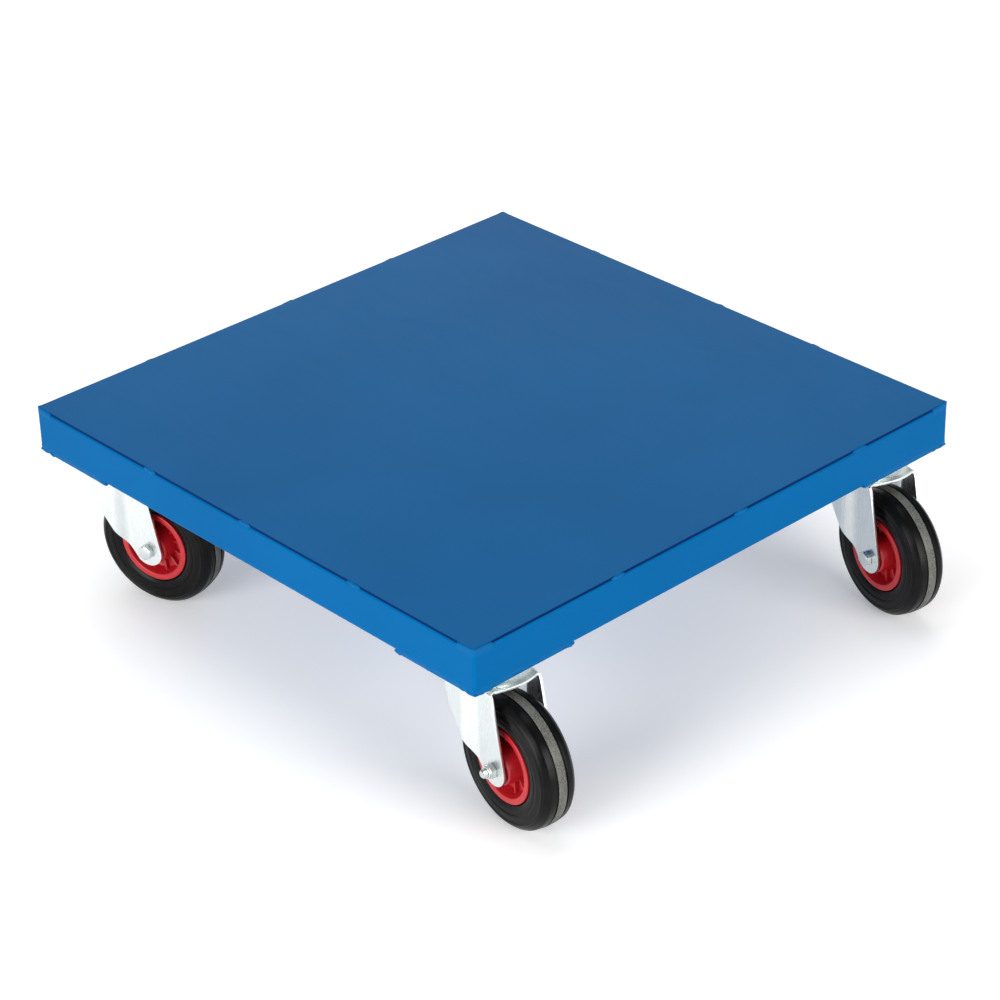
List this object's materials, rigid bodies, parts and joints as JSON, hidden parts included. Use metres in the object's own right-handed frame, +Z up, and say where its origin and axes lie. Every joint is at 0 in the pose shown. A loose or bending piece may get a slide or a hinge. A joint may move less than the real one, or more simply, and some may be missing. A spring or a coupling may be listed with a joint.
{
  "type": "platform dolly",
  "caption": "Flat square steel platform dolly: sheet deck on a welded tube frame, with swivel casters and rubber-tyred wheels at the corners.",
  "frame": {"origin": "on the floor, under the middle of the square deck", "axes": "+Z up, +X along the front rail to the right, +Y from the front rail to the rear rail"},
  "size_m": [0.6, 0.7121, 0.198],
  "materials": {
    "blue_paint": "smooth semi-gloss powder coat",
    "zinc_plate": "bright zinc plated pressed steel",
    "bearing_steel": "polished hardened steel",
    "bearing_plastic": "black nylon",
    "red_plastic": "satin moulded polypropylene",
    "black_rubber": "satin black rubber, matte on the tread"
  },
  "bodies": {
    "platform": {"deck_sheet": "blue_paint", "rail_front": "blue_paint", "rail_right": "blue_paint", "rail_rear": "blue_paint", "rail_left": "blue_paint", "cross_member": "blue_paint", "corner_plate_front_left": "blue_paint", "top_plate_front_left": "zinc_plate", "king_pin_front_left": "zinc_plate", "dust_ring_front_left": "zinc_plate", "corner_plate_front_right": "blue_paint", "top_plate_front_right": "zinc_plate", "king_pin_front_right": "zinc_plate", "dust_ring_front_right": "zinc_plate", "corner_plate_rear_left": "blue_paint", "top_plate_rear_left": "zinc_plate", "king_pin_rear_left": "zinc_plate", "dust_ring_rear_left": "zinc_plate", "corner_plate_rear_right": "blue_paint", "top_plate_rear_right": "zinc_plate", "king_pin_rear_right": "zinc_plate", "dust_ring_rear_right": "zinc_plate"},
    "swivel_front_left": {"fork_front_left": "zinc_plate", "upper_balls_front_left": "bearing_steel", "lower_balls_front_left": "bearing_steel", "axle_bolt_front_left": "zinc_plate", "axle_nut_front_left": "zinc_plate", "axle_sleeve_front_left": "zinc_plate"},
    "wheel_front_left": {"tyre_front_left": "black_rubber", "rim_front_left": "red_plastic", "roller_bearing_front_left": "bearing_plastic"},
    "swivel_front_right": {"fork_front_right": "zinc_plate", "upper_balls_front_right": "bearing_steel", "lower_balls_front_right": "bearing_steel", "axle_bolt_front_right": "zinc_plate", "axle_nut_front_right": "zinc_plate", "axle_sleeve_front_right": "zinc_plate"},
    "wheel_front_right": {"tyre_front_right": "black_rubber", "rim_front_right": "red_plastic", "roller_bearing_front_right": "bearing_plastic"},
    "swivel_rear_left": {"fork_rear_left": "zinc_plate", "upper_balls_rear_left": "bearing_steel", "lower_balls_rear_left": "bearing_steel", "axle_bolt_rear_left": "zinc_plate", "axle_nut_rear_left": "zinc_plate", "axle_sleeve_rear_left": "zinc_plate"},
    "wheel_rear_left": {"tyre_rear_left": "black_rubber", "rim_rear_left": "red_plastic", "roller_bearing_rear_left": "bearing_plastic"},
    "swivel_rear_right": {"fork_rear_right": "zinc_plate", "upper_balls_rear_right": "bearing_steel", "lower_balls_rear_right": "bearing_steel", "axle_bolt_rear_right": "zinc_plate", "axle_nut_rear_right": "zinc_plate", "axle_sleeve_rear_right": "zinc_plate"},
    "wheel_rear_right": {"tyre_rear_right": "black_rubber", "rim_rear_right": "red_plastic", "roller_bearing_rear_right": "bearing_plastic"}
  },
  "joints": [
    {"name": "caster_swivel_front_left", "type": "hinge", "parent": "platform", "child": "swivel_front_left", "pos_m": [-0.2429, -0.252, 0.15], "axis": [0, 0, 1], "continuous": true},
    {"name": "wheel_spin_front_left", "type": "hinge", "parent": "swivel_front_left", "child": "wheel_front_left", "pos_m": [-0.24724, -0.29327, 0.0625], "axis": [0.9945, -0.1045, 0], "continuous": true},
    {"name": "caster_swivel_front_right", "type": "hinge", "parent": "platform", "child": "swivel_front_right", "pos_m": [0.244, -0.251, 0.15], "axis": [0, 0, 1], "continuous": true},
    {"name": "wheel_spin_front_right", "type": "hinge", "parent": "swivel_front_right", "child": "wheel_front_right", "pos_m": [0.23608, -0.29174, 0.0625], "axis": [0.9816, -0.1908, 0], "continuous": true},
    {"name": "caster_swivel_rear_left", "type": "hinge", "parent": "platform", "child": "swivel_rear_left", "pos_m": [-0.244, 0.251, 0.15], "axis": [0, 0, 1], "continuous": true},
    {"name": "wheel_spin_rear_left", "type": "hinge", "parent": "swivel_rear_left", "child": "wheel_rear_left", "pos_m": [-0.23152, 0.21142, 0.0625], "axis": [0.9537, 0.3007, 0], "continuous": true},
    {"name": "caster_swivel_rear_right", "type": "hinge", "parent": "platform", "child": "swivel_rear_right", "pos_m": [0.244, 0.251, 0.15], "axis": [0, 0, 1], "continuous": true},
    {"name": "wheel_spin_rear_right", "type": "hinge", "parent": "swivel_rear_right", "child": "wheel_rear_right", "pos_m": [0.24689, 0.2924, 0.0625], "axis": [-0.9976, 0.0698, 0], "continuous": true}
  ]
}
